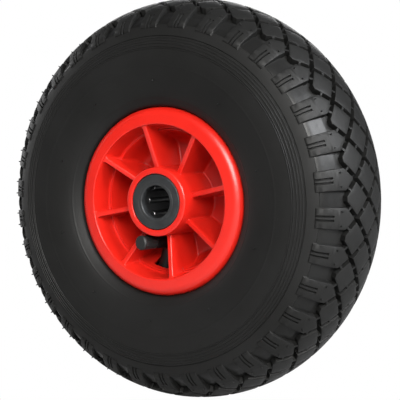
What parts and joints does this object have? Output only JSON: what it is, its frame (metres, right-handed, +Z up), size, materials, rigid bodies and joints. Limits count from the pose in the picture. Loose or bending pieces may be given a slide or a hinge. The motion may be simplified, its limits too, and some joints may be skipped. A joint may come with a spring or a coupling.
{
  "type": "sack truck wheel",
  "caption": "Pneumatic sack truck wheel: black block-tread tyre on a red moulded ribbed rim, bent valve with cap, roller bearing hub.",
  "frame": {"origin": "centre of the wheel: on the axle axis, midway between the two hub faces", "axes": "+Y along the axle, away from the valve side; the valve and the rim's pictured face look towards -Y; +Z up, with the valve below the hub; +X to the right seen from the valve side"},
  "size_m": [0.26, 0.085, 0.26],
  "materials": {
    "tyre_rubber": "matt moulded rubber",
    "butyl": "smooth butyl",
    "red_plastic": "moulded, glossy",
    "black_plastic": "moulded, satin",
    "zinc_steel": "zinc plated",
    "cage_plastic": "moulded",
    "roller_steel": "ground",
    "valve_rubber": "satin rubber",
    "valve_brass": "turned",
    "core_brass": "turned",
    "seal_white": "soft fluoropolymer",
    "pin_brass": "drawn",
    "seal_rubber": "moulded",
    "spring_steel": "drawn wire",
    "cap_plastic": "moulded"
  },
  "bodies": {
    "wheel": {"rim": "red_plastic", "tyre": "tyre_rubber", "inner_tube": "butyl", "end_ring_front": "black_plastic", "end_ring_rear": "black_plastic", "bearing_sleeve": "zinc_steel", "valve_stem": "valve_rubber", "valve_insert": "valve_brass", "core_body": "core_brass", "core_seal": "seal_white"},
    "cage": {"roller_cage": "cage_plastic"},
    "core_plunger": {"core_pin": "pin_brass", "core_cup_seal": "seal_rubber", "core_spring": "spring_steel"},
    "dust_cap": {"valve_cap": "cap_plastic"},
    "roller_body_1": {"roller_1": "roller_steel"},
    "roller_body_2": {"roller_2": "roller_steel"},
    "roller_body_3": {"roller_3": "roller_steel"},
    "roller_body_4": {"roller_4": "roller_steel"},
    "roller_body_5": {"roller_5": "roller_steel"},
    "roller_body_6": {"roller_6": "roller_steel"},
    "roller_body_7": {"roller_7": "roller_steel"},
    "roller_body_8": {"roller_8": "roller_steel"}
  },
  "joints": [
    {"name": "cage_spin", "type": "hinge", "parent": "wheel", "child": "cage", "pos_m": [0, 0, 0], "axis": [0, 1, 0], "continuous": true},
    {"name": "roller_spin_1", "type": "hinge", "parent": "cage", "child": "roller_body_1", "pos_m": [0.01265, 0, 0], "axis": [0, 1, 0], "continuous": true},
    {"name": "roller_spin_2", "type": "hinge", "parent": "cage", "child": "roller_body_2", "pos_m": [0.00894, 0, 0.00894], "axis": [0, 1, 0], "continuous": true},
    {"name": "roller_spin_3", "type": "hinge", "parent": "cage", "child": "roller_body_3", "pos_m": [0, 0, 0.01265], "axis": [0, 1, 0], "continuous": true},
    {"name": "roller_spin_4", "type": "hinge", "parent": "cage", "child": "roller_body_4", "pos_m": [-0.00894, 0, 0.00894], "axis": [0, 1, 0], "continuous": true},
    {"name": "roller_spin_5", "type": "hinge", "parent": "cage", "child": "roller_body_5", "pos_m": [-0.01265, 0, 0], "axis": [0, 1, 0], "continuous": true},
    {"name": "roller_spin_6", "type": "hinge", "parent": "cage", "child": "roller_body_6", "pos_m": [-0.00894, 0, -0.00894], "axis": [0, 1, 0], "continuous": true},
    {"name": "roller_spin_7", "type": "hinge", "parent": "cage", "child": "roller_body_7", "pos_m": [0, 0, -0.01265], "axis": [0, 1, 0], "continuous": true},
    {"name": "roller_spin_8", "type": "hinge", "parent": "cage", "child": "roller_body_8", "pos_m": [0.00894, 0, -0.00894], "axis": [0, 1, 0], "continuous": true},
    {"name": "cap_pull", "type": "slide", "parent": "wheel", "child": "dust_cap", "axis": [-0.1498, -0.9884, 0.0233], "range_m": [0, 0.016]},
    {"name": "core_press", "type": "slide", "parent": "wheel", "child": "core_plunger", "axis": [0.1498, 0.9884, -0.0233], "range_m": [0, 0.0012], "stiffness_N_per_m": 400, "springref_m": -0.001, "deforming": ["core_spring"]}
  ],
  "couplings": [
    {"joint": "roller_spin_1", "follows": "cage_spin", "ratio": -6.08},
    {"joint": "roller_spin_2", "follows": "cage_spin", "ratio": -6.08},
    {"joint": "roller_spin_3", "follows": "cage_spin", "ratio": -6.08},
    {"joint": "roller_spin_4", "follows": "cage_spin", "ratio": -6.08},
    {"joint": "roller_spin_5", "follows": "cage_spin", "ratio": -6.08},
    {"joint": "roller_spin_6", "follows": "cage_spin", "ratio": -6.08},
    {"joint": "roller_spin_7", "follows": "cage_spin", "ratio": -6.08},
    {"joint": "roller_spin_8", "follows": "cage_spin", "ratio": -6.08}
  ]
}
